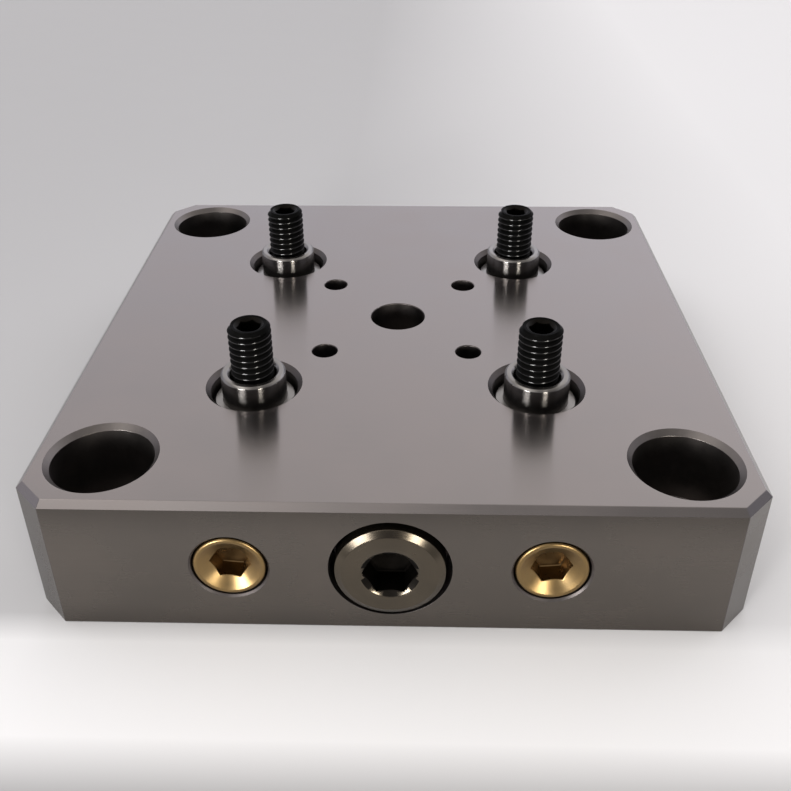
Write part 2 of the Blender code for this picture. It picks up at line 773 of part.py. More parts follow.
def pull_stud(parts, cutters, material, label):
    """Foot, neck for the locking pin, locating head and standing collar."""
    foot = STUD_FLOOR_Z + FIT_GAP
    neck_low = AXIS_Z - PIN_RADIUS - FIT_GAP
    neck_high = AXIS_Z + PIN_RADIUS + FIT_GAP
    head_top = PLATE_THICKNESS - STUD_SINK
    stud = turned(
        "pull_stud_" + label,
        [
            (0.0, COLLAR_TOP_Z),
            (COLLAR_RADIUS - COLLAR_EDGE, COLLAR_TOP_Z),
            (COLLAR_RADIUS, COLLAR_TOP_Z - COLLAR_EDGE),
            (COLLAR_RADIUS, head_top),
            (STUD_RADIUS - STUD_EDGE, head_top),
            (STUD_RADIUS, head_top - STUD_EDGE),
            (STUD_RADIUS, neck_high + STUD_SHOULDER_SLOPE),
            (STUD_NECK_RADIUS, neck_high),
            (STUD_NECK_RADIUS, neck_low),
            (STUD_RADIUS - STUD_EDGE, neck_low - STUD_FOOT_SLOPE),
            (STUD_RADIUS - STUD_EDGE, foot + STUD_EDGE),
            (STUD_RADIUS - 2 * STUD_EDGE, foot),
            (0.0, foot),
        ],
        FACETS_STUD,
        parts,
        material,
    )
    floor = SCREW_BOTTOM_Z - SCREW_END_ROOM
    thread = turned(
        "cut_stud_thread_" + label,
        [
            (0.0, COLLAR_TOP_Z + OVERRUN),
            (SCREW_RADIUS + FIT_GAP, COLLAR_TOP_Z + OVERRUN),
            (SCREW_RADIUS + FIT_GAP, floor),
            (0.0, floor),
        ],
        FACETS_SCREW,
        cutters,
    )
    thread.parent = stud
    cut(stud, thread)
    return stud


def set_screw(parts, cutters, material, label):
    """Socket set screw: a thread of turned grooves, a coned tip and a key hole."""
    root = SCREW_RADIUS - SCREW_THREAD_HEIGHT
    profile = [
        (0.0, SCREW_TOP_Z),
        (SCREW_RADIUS - SCREW_TIP, SCREW_TOP_Z),
        (SCREW_RADIUS, SCREW_TOP_Z - SCREW_TIP),
    ]
    height = SCREW_TOP_Z - SCREW_TIP - SCREW_PITCH / 2
    while height - SCREW_PITCH / 2 > COLLAR_TOP_Z:
        profile.append((root, height))
        profile.append((SCREW_RADIUS, height - SCREW_PITCH / 2))
        height -= SCREW_PITCH
    profile.append((SCREW_RADIUS, SCREW_BOTTOM_Z + SCREW_TIP))
    profile.append((SCREW_RADIUS - SCREW_TIP, SCREW_BOTTOM_Z))
    profile.append((0.0, SCREW_BOTTOM_Z))
    screw = turned("set_screw_" + label, profile, FACETS_SCREW, parts, material)
    key_floor = SCREW_TOP_Z - SCREW_KEY_DEPTH
    key = hex_prism("cut_set_screw_key_" + label, SCREW_KEY, key_floor, SCREW_TOP_Z + OVERRUN, cutters)
    key.parent = screw
    cut(screw, key)
    return screw


def axis_empty(name, x, y, z, parts):
    """Marks a joint's axis and carries the pieces that move on it."""
    empty = bpy.data.objects.new(name, None)
    empty.empty_display_size = PIN_RADIUS
    empty.location = (x, y, z)
    parts.objects.link(empty)
    return empty


def hold(piece, carrier):
    """Parents a piece without moving it."""
    place_now = piece.location.copy()
    piece.parent = carrier
    piece.location = place_now - carrier.location


def build():
    clear_scene()
    parts = make_collection("zero_point_base")
    cutters = make_collection("cutters")
    steel = ground_steel()
    polished = polished_steel()
    black = black_steel()
    dark = dark_steel()
    brass_metal = brass()
    bronze_metal = bronze()
    spring = spring_steel()

    base_plate(parts, cutters, steel)
    bottom_cover(parts, cutters, dark)
    for sx, sy, label in SQUARE:
        screw = cover_screw(parts, cutters, black, label)
        place(screw, sx * COVER_SCREW_X, sy * COVER_SCREW_Y, COVER_SCREW_SINK)

    spindle = drive_spindle(parts, cutters, dark)
    ring = retaining_ring(parts, cutters, spring)
    ring.parent = spindle
    ring.matrix_parent_inverse = ring_in_spindle(spindle)
    shank_clearance = SHANK_RADIUS + FIT_GAP
    washer("thrust_washer", shank_clearance, HEAD_RADIUS, HEAD_BACK_Y + FIT_GAP, WASHER_THICKNESS, parts, bronze_metal)
    washer("shim_washer", shank_clearance, SHIM_RADIUS, BAY_FRONT_Y + FIT_GAP, SHIM_THICKNESS, parts, spring)
    bush_inner = TAIL_RADIUS + FIT_GAP
    bush_start = CHAMBER_HALF_DEPTH + FIT_GAP
    washer("rear_bush", bush_inner, bush_inner + BUSH_WALL, bush_start, BUSH_LENGTH, parts, bronze_metal)

    for side, label in ((-1, "front"), (1, "rear")):
        slide = axis_empty(label + "_slide_axis", 0.0, 0.0, AXIS_Z, parts)
        hold(yoke(parts, cutters, dark, side, label), slide)
        for pin_side, pin_label in SIDES:
            pin = locking_pin(parts, polished, side, label + "_" + pin_label)
            place(pin, pin_side * STUD_SPACING / 2, 0.0, AXIS_Z)
            hold(pin, slide)

    for side, label in SIDES:
        brass_plug(parts, cutters, brass_metal, side, label)

    for sx, sy, label in SQUARE:
        lift = axis_empty(label + "_lift_axis", sx * STUD_SPACING / 2, sy * STUD_SPACING / 2, 0.0, parts)
        pull_stud(parts, cutters, polished, label).parent = lift
        set_screw(parts, cutters, black, label).parent = lift

    bpy.context.view_layer.update()
    for thing in parts.objects:
        if thing.type == "MESH":
            shade(thing.data)


def ring_in_spindle(spindle):
    """Keeps the ring where it was made when the spindle takes it as a child."""
    bpy.context.view_layer.update()
    return spindle.matrix_world.inverted()


build()
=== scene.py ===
import math

import bmesh
import bpy
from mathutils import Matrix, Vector


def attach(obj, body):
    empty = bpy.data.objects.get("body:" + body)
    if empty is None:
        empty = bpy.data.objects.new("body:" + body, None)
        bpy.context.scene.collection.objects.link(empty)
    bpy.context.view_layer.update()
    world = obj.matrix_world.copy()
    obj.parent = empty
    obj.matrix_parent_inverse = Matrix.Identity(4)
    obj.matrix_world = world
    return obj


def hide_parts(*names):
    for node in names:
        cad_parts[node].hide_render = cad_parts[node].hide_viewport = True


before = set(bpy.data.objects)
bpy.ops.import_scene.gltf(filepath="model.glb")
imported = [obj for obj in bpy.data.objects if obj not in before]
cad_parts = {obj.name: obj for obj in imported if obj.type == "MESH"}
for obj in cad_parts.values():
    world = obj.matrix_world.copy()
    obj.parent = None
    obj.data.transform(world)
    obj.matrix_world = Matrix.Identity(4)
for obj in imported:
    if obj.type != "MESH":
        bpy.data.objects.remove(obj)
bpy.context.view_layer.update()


# The base plate: one block of hardened tool steel, ground on every outer face, with its
# corners cut off and its top edges broken.  All its holes are bored or milled before it is
# hardened.  It carries every other piece.
MM = 0.001
PLATE_HALF, PLATE_HIGH, PLATE_CORNER, PLATE_BEVEL, PLATE_EASE = 60.0, 26.0, 5.0, 1.09, 0.12
PLATE_DIAGONAL = 2 * PLATE_HALF - PLATE_CORNER
AXIS_HIGH = 13.0
STUD_OFF, BOLT_OFF, SMALL_OFF = 26.0, 48.0, 14.0
COVER_SCREW_X, COVER_SCREW_Y = 36.0, 16.0
CORNERS = (("front_left", -1, -1), ("front_right", 1, -1), ("rear_left", -1, 1), ("rear_right", 1, 1))
SIDES = (("left", -1), ("right", 1))

GROUND_COLOUR = (0.238, 0.220, 0.216)
# The sides are about half as bright as the top: painted shade, over their real rougher grinding.
SIDE_PAINTED_SHADE_COLOUR = (0.126, 0.114, 0.103)
# The bored and drilled holes are darker still: painted shade in the hollows, over their real rougher
# finish.
BORED_PAINTED_SHADE_COLOUR = (0.10, 0.091, 0.089)
DRILLED_PAINTED_SHADE_COLOUR = (0.145, 0.134, 0.129)


def add_node(tree, kind, **settings):
    made = tree.nodes.new(kind)
    for key, value in settings.items():
        setattr(made, key, value)
    return made


def noise(tree, vector, scale, detail, rough=0.55):
    made = add_node(tree, "ShaderNodeTexNoise")
    for name, number in (("Scale", scale), ("Detail", detail), ("Roughness", rough)):
        made.inputs[name].default_value = number
    tree.links.new(vector, made.inputs["Vector"])
    return made.outputs["Fac"]


def spread(tree, value, low, high, to_low, to_high):
    """Stretches a value from one range to another, held at the ends."""
    made = add_node(tree, "ShaderNodeMapRange")
    for name, number in (("From Min", low), ("From Max", high), ("To Min", to_low), ("To Max", to_high)):
        made.inputs[name].default_value = number
    tree.links.new(value, made.inputs["Value"])
    return made.outputs["Result"]


def spread_noise(tree, value, to_low, to_high):
    """Stretches a noise, which lies mostly between 0.3 and 0.7, to a range of its own."""
    return spread(tree, value, 0.3, 0.7, to_low, to_high)


def sum_of(tree, first, second):
    made = add_node(tree, "ShaderNodeMath", operation="ADD")
    tree.links.new(first, made.inputs[0])
    tree.links.new(second, made.inputs[1])
    return made.outputs[0]


def tool_marks(tree, place, lay, fine):
    """The marks that a tool left: along x, round a turned piece, or in no one direction."""
    marks_along = 70.0
    if lay == "turned":
        flat = add_node(tree, "ShaderNodeVectorMath", operation="MULTIPLY")
        flat.inputs[1].default_value = (1.0, 1.0, 0.0)
        tree.links.new(place, flat.inputs[0])
        radius = add_node(tree, "ShaderNodeVectorMath", operation="LENGTH")
        tree.links.new(flat.outputs[0], radius.inputs[0])
        split = add_node(tree, "ShaderNodeSeparateXYZ")
        tree.links.new(place, split.inputs[0])
        joined = add_node(tree, "ShaderNodeCombineXYZ")
        tree.links.new(radius.outputs["Value"], joined.inputs["X"])
        tree.links.new(split.outputs["Z"], joined.inputs["Y"])
        place, scale = joined.outputs[0], (fine, fine, 0.0)
    else:
        scale = (marks_along if lay == "along x" else fine, fine, fine)
    mapping = add_node(tree, "ShaderNodeMapping")
    mapping.inputs["Scale"].default_value = scale
    tree.links.new(place, mapping.inputs["Vector"])
    return noise(tree, mapping.outputs[0], 1.0, 2.0, 0.6)


def cross(tree, first, second):
    made = add_node(tree, "ShaderNodeVectorMath", operation="CROSS_PRODUCT")
    for socket, value in zip(made.inputs, (first, second)):
        if isinstance(value, tuple):
            socket.default_value = value
        else:
            tree.links.new(value, socket)
    return made.outputs[0]


def gloss_line(tree, place, lay):
    """The way in which a highlight is drawn out, which is square to the marks of the tool."""
    upward = (0.0, 0.0, 1.0)
    normal = add_node(tree, "ShaderNodeNewGeometry").outputs["Normal"]
    if lay == "turned":
        around = add_node(tree, "ShaderNodeVectorTransform", vector_type="VECTOR")
        around.convert_from, around.convert_to = "OBJECT", "WORLD"
        tree.links.new(cross(tree, upward, place), around.inputs[0])
        return cross(tree, normal, around.outputs[0])
    facing = add_node(tree, "ShaderNodeSeparateXYZ")
    tree.links.new(normal, facing.inputs[0])
    level = add_node(tree, "ShaderNodeMath", operation="ABSOLUTE")
    tree.links.new(facing.outputs["Z"], level.inputs[0])
    way = add_node(tree, "ShaderNodeMix", data_type="VECTOR")
    tree.links.new(spread(tree, level.outputs[0], 0.80, 0.84, 0.0, 1.0), way.inputs["Factor"])
    tree.links.new(cross(tree, normal, upward), way.inputs[4])
    way.inputs[5].default_value = (0.0, 1.0, 0.0)
    return way.outputs[1]


def metal(name, colour, roughness, lay, fine, patch, shade, uneven, depth,
          tint=(1.0, 0.97, 0.95), metallic=1.0, stretch=0.0, gloss=0.5):
    """A metal with slow patches of oil and handling over the fine marks that its tool left.

    fine is how closely the marks lie, patch the size of the patches in mm, shade and uneven how
    far colour and roughness change, and depth how deep the marks are in mm.
    """
    material = bpy.data.materials.new(name)
    material.use_nodes = True
    tree = material.node_tree
    shader = tree.nodes["Principled BSDF"]
    shader.inputs["Metallic"].default_value = metallic
    place = add_node(tree, "ShaderNodeTexCoord").outputs["Object"]
    patches = noise(tree, place, 1.0 / (patch * MM), 4.0)
    marks = tool_marks(tree, place, lay, fine)

    # Three quarters of the change in colour comes from the patches, and a quarter from the marks.
    blend = add_node(tree, "ShaderNodeMix", data_type="RGBA")
    blend.inputs[6].default_value = (*[c * (1.0 - shade) for c in colour], 1.0)
    blend.inputs[7].default_value = (*[c * (1.0 + shade) * t for c, t in zip(colour, tint)], 1.0)
    worn = sum_of(tree, spread_noise(tree, patches, 0.0, 0.75), spread_noise(tree, marks, 0.0, 0.25))
    tree.links.new(worn, blend.inputs["Factor"])
    tree.links.new(blend.outputs[2], shader.inputs["Base Color"])

    rough_patches = spread_noise(tree, patches, roughness - uneven, roughness + uneven * 0.6)
    rough_marks = spread_noise(tree, marks, 0.0, uneven * 0.4)
    tree.links.new(sum_of(tree, rough_patches, rough_marks), shader.inputs["Roughness"])

    bump = add_node(tree, "ShaderNodeBump")
    bump.inputs["Strength"].default_value = 1.0
    bump.inputs["Distance"].default_value = depth * MM
    tree.links.new(marks, bump.inputs["Height"])
    tree.links.new(bump.outputs[0], shader.inputs["Normal"])
    shader.inputs["Specular IOR Level"].default_value = gloss
    if stretch:
        shader.inputs["Anisotropic"].default_value = stretch
        tree.links.new(gloss_line(tree, place, lay), shader.inputs["Tangent"])
    return material


# Round pieces have so many corners.  Points nearer than WELD metres are joined, and edges that
# bend by less than SHARP degrees are shaded smooth.
STEPS = 72
WELD, THINNEST = 2e-7, 1e-8
SHARP, STRAIGHT = 34.0, 165.0


def ring(radius, height):
    if radius == 0.0:
        return [(0.0, 0.0, height)]
    turns = [2.0 * math.pi * i / STEPS for i in range(STEPS)]
    return [(radius * math.cos(a), radius * math.sin(a), height) for a in turns]


def join_rows(shape, low, high):
    """Fills between two closed rows of corners, either of which may be a single point."""
    count = max(len(low), len(high))
    for i in range(count):
        j = (i + 1) % count
        if len(low) == 1:
            corners = (low[0], high[j], high[i])
        elif len(high) == 1:
            corners = (low[i], low[j], high[0])
        else:
            corners = (low[i], low[j], high[j], high[i])
        shape.faces.new(corners)


def skin(shape, rings, closed=False):
    """A surface through rings of points in mm, one after the other."""
    rows = [[shape.verts.new(Vector(point) * MM) for point in points] for points in rings]
    for low, high in zip(rows, rows[1:]):
        join_rows(shape, low, high)
    if closed:
        join_rows(shape, rows[-1], rows[0])
    return rows


def eased(line, ease, closed=False):
    """A line of (radius, height) points with each corner rounded a little."""
    made = []
    count = len(line)
    for i, here in enumerate(line):
        if not closed and i in (0, count - 1):
            made.append(here)
            continue
        here = Vector(here)
        back, on = Vector(line[i - 1]) - here, Vector(line[(i + 1) % count]) - here
        if back.angle(on) > math.radians(STRAIGHT):
            made.append(tuple(here))
            continue
        start = here + back.normalized() * min(ease, back.length * 0.45)
        end = here + on.normalized() * min(ease, on.length * 0.45)
        for share in (0.0, 0.33, 0.67, 1.0):
            near = start.lerp(here, share)
            made.append(tuple(near.lerp(here.lerp(end, share), share)))
    return made


def smooth(piece, sharp=SHARP):
    """Shades a piece smooth, but for edges that bend by more than so many degrees."""
    piece.data.shade_smooth()
    piece.data.set_sharp_from_angle(angle=math.radians(sharp))
    weighted = piece.modifiers.new("weighted", "WEIGHTED_NORMAL")
    weighted.keep_sharp = True


def piece_of(name, shape, materials):
    """An object from a finished shape, smooth but for its real edges."""
    bmesh.ops.remove_doubles(shape, verts=shape.verts, dist=WELD)
    bmesh.ops.dissolve_degenerate(shape, edges=shape.edges, dist=THINNEST)
    bmesh.ops.recalc_face_normals(shape, faces=shape.faces)
    mesh = bpy.data.meshes.new(name)
    shape.to_mesh(mesh)
    shape.free()
    for material in materials:
        mesh.materials.append(material)
    piece = bpy.data.objects.new(name, mesh)
    bpy.context.scene.collection.objects.link(piece)
    smooth(piece)
    return piece


def turned(name, line, materials=(), ease=0.08, closed=False):
    """A piece turned from a line of (radius, height) points."""
    shape = bmesh.new()
    skin(shape, [ring(r, z) for r, z in eased(line, ease, closed)], closed)
    return piece_of(name, shape, materials)


def outline(half_x, half_y, corner, steps_per_corner, height):
    """A rectangle's outline with its corners rounded."""
    points = []
    for sx, sy, start in ((1, 1, 0.0), (-1, 1, 90.0), (-1, -1, 180.0), (1, -1, 270.0)):
        mid_x, mid_y = sx * (half_x - corner), sy * (half_y - corner)
        for k in range(steps_per_corner + 1):
            angle = math.radians(start + 90.0 * k / steps_per_corner)
            points.append((mid_x + corner * math.cos(angle), mid_y + corner * math.sin(angle), height))
    return points


def plate_outline(inset, height):
    """The plate's outline: a square with its corners cut off, each bend eased."""
    half = PLATE_HALF - inset
    far = PLATE_DIAGONAL - inset * math.sqrt(2) - half
    bends = [
        (half, -far), (half, far), (far, half), (-far, half),
        (-half, far), (-half, -far), (-far, -half), (far, -half),
    ]
    return [(x, y, height) for x, y in eased(bends, PLATE_EASE, closed=True)]


def solid_from(name, rings, materials=()):
    """A closed solid through rings, with its two ends filled flat."""
    shape = bmesh.new()
    rows = skin(shape, rings)
    for row in (rows[0], rows[-1]):
        shape.faces.new(row)
    return piece_of(name, shape, materials)


def lay_back(piece, x=0.0):
    """Turns a piece's own z to point to the rear, at the height of the spindle's axis."""
    piece.rotation_euler = (-math.pi / 2, 0.0, 0.0)
    piece.location = (x * MM, 0.0, AXIS_HIGH * MM)
    return piece


def stand_at(piece, x, y):
    piece.location = (x * MM, y * MM, 0.0)
    return piece


def bore(piece, cutters):
    """Takes the cutters out of a piece, in the order in which they are given."""
    piece.modifiers.clear()
    for cutter in cutters:
        cut = piece.modifiers.new("cut", "BOOLEAN")
        cut.object, cut.operation, cut.solver = cutter, "DIFFERENCE", "EXACT"
    bpy.context.view_layer.update()
    seen = piece.evaluated_get(bpy.context.evaluated_depsgraph_get())
    mesh = bpy.data.meshes.new_from_object(seen)
    old = piece.data
    piece.modifiers.clear()
    piece.data = mesh
    bpy.data.meshes.remove(old)
    for cutter in cutters:
        bpy.data.objects.remove(cutter)


def fit(piece, node, body):
    """Puts a finished piece in the place of its plain solid."""
    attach(piece, body)
    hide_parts(node)


ground_steel = metal(
    "ground_steel", GROUND_COLOUR, roughness=0.195, lay="along x", fine=3000.0, patch=16.0,
    shade=0.06, uneven=0.025, depth=0.0002, tint=(1.0, 0.975, 0.965), stretch=0.92,
)
# Darker than the top's steel: painted shade on the sides, with their real rougher grinding marks.
side_steel_and_shade = metal(
    "side_steel_and_shade", SIDE_PAINTED_SHADE_COLOUR, roughness=0.27, lay="along x", fine=2600.0, patch=14.0,
    shade=0.08, uneven=0.04, depth=0.0005, tint=(1.0, 0.975, 0.955), stretch=0.8,
)
# Darker than the outer faces: painted shade inside the holes, with a real rougher finish.
drilled_steel_and_shade = metal(
    "drilled_steel_and_shade", DRILLED_PAINTED_SHADE_COLOUR, roughness=0.40, lay="none", fine=1500.0, patch=6.0,
    shade=0.15, uneven=0.06, depth=0.002,
)
# Darkest of the plate's steels: painted shade inside the bores, with a real rougher finish.
bored_steel_and_shade = metal(
    "bored_steel_and_shade", BORED_PAINTED_SHADE_COLOUR, roughness=0.42, lay="none", fine=1500.0, patch=6.0,
    shade=0.22, uneven=0.10, depth=0.003,
)
PLATE_FINISHES = (ground_steel, bored_steel_and_shade, side_steel_and_shade, drilled_steel_and_shade)
GROUND, BORED, SIDE, DRILLED = range(4)

# The holes: radii and half widths in mm, heights over the underside, and for the holes from the
# front their places along y.  PAST is how far a cutter starts outside the face.
PAST = 1.0
BOLT_HEAD, BOLT_SHANK, BOLT_SEAT, BOLT_RIM, BOLT_FOOT = 8.5, 5.5, 12.0, 0.95, 0.5
STUD_HOLE, STUD_FLOOR, STUD_RIM = 8.0, 5.6, 0.9
CENTRE_HOLE, CENTRE_FLOOR = 5.5, 19.5
SMALL_HOLE, SMALL_FLOOR, SMALL_TIP, SMALL_RIM = 2.45, 20.0, 19.2, 0.15
SPINDLE_RECESS, SPINDLE_BORE, SPINDLE_STEP, SPINDLE_FLOOR, SPINDLE_RIM = 10.0, 6.3, -53.1, -16.8, 0.04
REAR_BORE, REAR_LOW, REAR_HIGH = 5.8, 12.5, 22.1
PLUG_BORE, PLUG_STEP, PLUG_RIM, PIN_BORE, PIN_END = 6.25, -52.1, 0.35, 3.8, 26.0
TAPPED_HOLE, TAPPED_FLOOR, TAPPED_TIP = 1.8, 8.0, 8.8
CHAMBER_X, CHAMBER_Y, CHAMBER_CORNER, CHAMBER_HIGH = 31.4, 13.5, 4.0, 18.5
BAY_X, BAY_Y, BAY_CORNER, BAY_HIGH, BAY_MIDDLE = 10.4, 3.15, 1.0, 22.2, -14.85
COVER_X, COVER_Y, COVER_CORNER, COVER_GAP, COVER_SEAT = 40.0, 20.0, 4.0, 0.3, 3.0


def hole_mouth(radius, rim, face=PLATE_HIGH, past=PAST):
    """A hole's line from its axis outside the face, over its broken rim, to its wall."""
    wide, inside = radius + rim + abs(past), face - math.copysign(rim, past)
    return [(0.0, face + past), (wide, face + past), (radius + rim, face), (radius, inside)]


bolt_line = hole_mouth(BOLT_HEAD, BOLT_RIM) + [
    (BOLT_HEAD, BOLT_SEAT), (BOLT_SHANK, BOLT_SEAT), (BOLT_SHANK, BOLT_FOOT), (BOLT_SHANK + BOLT_FOOT, 0.0),
    (BOLT_SHANK + BOLT_FOOT + PAST, -PAST), (0.0, -PAST),
]
stud_line = hole_mouth(STUD_HOLE, STUD_RIM) + [(STUD_HOLE, STUD_FLOOR), (0.0, STUD_FLOOR)]
centre_line = hole_mouth(CENTRE_HOLE, SMALL_RIM) + [(CENTRE_HOLE, CENTRE_FLOOR), (0.0, CENTRE_FLOOR)]
small_line = hole_mouth(SMALL_HOLE, SMALL_RIM) + [(SMALL_HOLE, SMALL_FLOOR), (0.0, SMALL_TIP)]
spindle_line = hole_mouth(SPINDLE_RECESS, SPINDLE_RIM, -PLATE_HALF, -2 * PAST) + [
    (SPINDLE_RECESS, SPINDLE_STEP), (SPINDLE_BORE, SPINDLE_STEP), (SPINDLE_BORE, SPINDLE_FLOOR),
    (0.0, SPINDLE_FLOOR),
]
rear_line = [(0.0, REAR_LOW), (REAR_BORE, REAR_LOW), (REAR_BORE, REAR_HIGH), (0.0, REAR_HIGH)]
pin_line = hole_mouth(PLUG_BORE, PLUG_RIM, -PLATE_HALF, -2 * PAST) + [
    (PLUG_BORE, PLUG_STEP), (PIN_BORE, PLUG_STEP), (PIN_BORE, PIN_END), (0.0, PIN_END),
]
tapped_line = [(0.0, -PAST), (TAPPED_HOLE, -PAST), (TAPPED_HOLE, TAPPED_FLOOR), (0.0, TAPPED_TIP)]

plate_rings = [plate_outline(inset, height) for inset, height in (
    (0.20, 0.0), (0.06, 0.06), (0.0, 0.20),
    (0.0, PLATE_HIGH - PLATE_BEVEL), (PLATE_BEVEL - 0.06, PLATE_HIGH - 0.06),
    (PLATE_BEVEL, PLATE_HIGH - 0.015), (PLATE_BEVEL + 0.07, PLATE_HIGH),
)]
plate = solid_from("base_plate_finished", plate_rings, PLATE_FINISHES)

chamber_rings = [outline(CHAMBER_X, CHAMBER_Y, CHAMBER_CORNER, 8, z) for z in (-PAST, CHAMBER_HIGH)]
bay = [(x, y + BAY_MIDDLE) for x, y, _ in outline(BAY_X, BAY_Y, BAY_CORNER, 5, 0.0)]
bay_rings = [[(x, y, z) for x, y in bay] for z in (-PAST, BAY_HIGH)]
seat = (COVER_X + COVER_GAP, COVER_Y + COVER_GAP, COVER_CORNER + COVER_GAP)
seat_rings = [outline(*seat, 10, z) for z in (-PAST, COVER_SEAT)]
cutters = [
    solid_from("chamber_cut", chamber_rings),
    solid_from("bay_cut", bay_rings),
    solid_from("seat_cut", seat_rings),
    lay_back(turned("spindle_cut", spindle_line)),
    lay_back(turned("rear_cut", rear_line)),
]
for label, side in SIDES:
    cutters.append(lay_back(turned("pin_cut", pin_line), side * STUD_OFF))
for label, sx, sy in CORNERS:
    cutters.append(stand_at(turned("stud_cut", stud_line), sx * STUD_OFF, sy * STUD_OFF))
    cutters.append(stand_at(turned("bolt_cut", bolt_line), sx * BOLT_OFF, sy * BOLT_OFF))
    cutters.append(stand_at(turned("small_cut", small_line), sx * SMALL_OFF, sy * SMALL_OFF))
    cutters.append(stand_at(turned("tapped_cut", tapped_line), sx * COVER_SCREW_X, sy * COVER_SCREW_Y))
cutters.append(turned("centre_cut", centre_line))
bore(plate, cutters)


def plate_finish(face):
    """Top, bottom and bevels are ground finer than the sides, and the holes are rougher.  Sides and holes
    also get darker colours, which are painted shade.
    """
    x, y, z = face.center / MM
    if z > PLATE_HIGH - 0.04 or z < 0.55:
        return GROUND
    under_bevel = PLATE_HIGH - 1.3
    skin_depth = 1.15
    outer = max(abs(x), abs(y)) > PLATE_HALF - skin_depth or abs(x) + abs(y) > PLATE_DIAGONAL - 1.7
    in_mouth = y < skin_depth - PLATE_HALF and z < under_bevel and face.normal.y > -0.97
    if outer and not in_mouth:
        return GROUND if z > under_bevel else SIDE
    from_bolt = math.hypot(abs(x) - BOLT_OFF, abs(y) - BOLT_OFF)
    return DRILLED if from_bolt < BOLT_HEAD + 1.2 else BORED


for face in plate.data.polygons:
    face.material_index = plate_finish(face)
smooth(plate, 10.0)
fit(plate, "base_plate", "base")


# The bottom cover: a flat milled steel lid, let into the underside over the chamber of the
# yokes and held by four countersunk screws.  It is satin from the mill, with marks along x.
MILLED_COLOUR = (0.22, 0.21, 0.20)
SINK_HEAD, SINK_SHANK = 3.2, 1.8
milled_steel = metal(
    "milled_steel", MILLED_COLOUR, roughness=0.34, lay="along x", fine=2200.0, patch=12.0,
    shade=0.10, uneven=0.05, depth=0.0012,
)
cover_rings = [
    outline(COVER_X - inset, COVER_Y - inset, COVER_CORNER - inset, 10, height)
    for inset, height in ((0.3, 0.0), (0.0, 0.3), (0.0, 2.5), (0.2, 2.7))
]
cover = solid_from("bottom_cover_finished", cover_rings, (milled_steel,))
sink_line = [
    (0.0, -PAST), (SINK_HEAD, -PAST), (SINK_HEAD, 0.2), (SINK_SHANK, 1.6), (SINK_SHANK, 4.0), (0.0, 4.0),
]
bore(cover, [
    stand_at(turned("sink_cut", sink_line, ease=0.04), sx * COVER_SCREW_X, sy * COVER_SCREW_Y)
    for _, sx, sy in CORNERS
])
smooth(cover)
fit(cover, "bottom_cover", "base")


# The cover screws: M3 countersunk socket screws, blackened, driven up from below until
# their heads lie just inside the cover's face.
BLACK_COLOUR = (0.003, 0.003, 0.003)
black_oxide = metal(
    "black_oxide", BLACK_COLOUR, roughness=0.26, lay="turned", fine=2600.0, patch=5.0, shade=0.35,
    uneven=0.04, depth=0.0004, tint=(1.0, 0.97, 0.93), metallic=0.0, stretch=0.9, gloss=0.012,
)
COVER_THREAD, COVER_DEPTH, COVER_PITCH, COVER_SINK = 1.5, 0.31, 0.5, 0.2
COVER_NECK, COVER_END = 1.7, 7.5

# Along a thread, these shares of the pitch stand at these shares of its depth.
FLANKS = (
    (0.0, 0.0), (0.08, 0.02), (0.36, 0.88), (0.42, 0.98),
    (0.50, 1.0), (0.58, 0.955), (0.66, 0.84), (0.92, 0.02),
)


def hexagon(across, height, turn, mouth=None, drop=0.0):
    """A hexagonal ring.  With a mouth's radius, its edge lies on the cone that opens it."""
    points = []
    for i in range(STEPS):
        angle = 360.0 * i / STEPS
        off = (angle - turn) % 60.0 - 30.0
        radius = across / 2 / math.cos(math.radians(off))
        lower = 0.0 if mouth is None else max(mouth - radius, 0.0) * drop
        angle = math.radians(angle)
        points.append((radius * math.cos(angle), radius * math.sin(angle), height + lower))
    return points


def key_hole(across, face, depth, mouth, into=1.0, turn=0.0, slope=0.7):
    """Rings from a face into a hexagonal key hole with a coned mouth and a drilled floor."""
    floor = face + depth * into
    drill_radius, drill_tip = across / 2 * 0.84, floor + across * 0.14 * into
    edge = hexagon(across, face, turn, mouth, slope * into)
    return [
        ring(mouth + 0.06, face), ring(mouth - 0.02, face + 0.05 * into),
        hexagon(across + 0.16, face, turn, mouth, slope * into),
        [(x * 0.985, y * 0.985, z + 0.09 * into) for x, y, z in edge],
        hexagon(across, floor - 0.15 * into, turn), hexagon(across - 0.25, floor, turn),
        ring(drill_radius, floor), ring(0.0, drill_tip),
    ]


def thread(shape, low, high, radius, depth, pitch, hand=1.0):
    """A real helical thread between two heights, run out to its root at both ends."""
    per_turn = len(FLANKS)
    turns = math.ceil((high - low) / pitch) + 2
    columns = []
    for i in range(STEPS):
        angle = 2.0 * math.pi * i / STEPS
        column = []
        for k in range(turns * per_turn):
            share, rise = FLANKS[k % per_turn]
            height = low + pitch * (k // per_turn - 1 + share + i / STEPS)
            height = min(max(height, low), high)
            r = radius - depth + min(depth * rise, height - low, high - height)
            point = Vector((r * math.cos(angle), hand * r * math.sin(angle), height))
            column.append(shape.verts.new(point * MM))
        columns.append(column)
    rows = turns * per_turn
    for i in range(STEPS):
        right = columns[(i + 1) % STEPS]
        shift = per_turn if i + 1 == STEPS else 0
        for k in range(rows - 1):
            low_k, high_k = min(k + shift, rows - 1), min(k + 1 + shift, rows - 1)
            corners = [columns[i][k], right[low_k], right[high_k], columns[i][k + 1]]
            shape.faces.new(corners if low_k != high_k else [corners[0], corners[1], corners[3]])


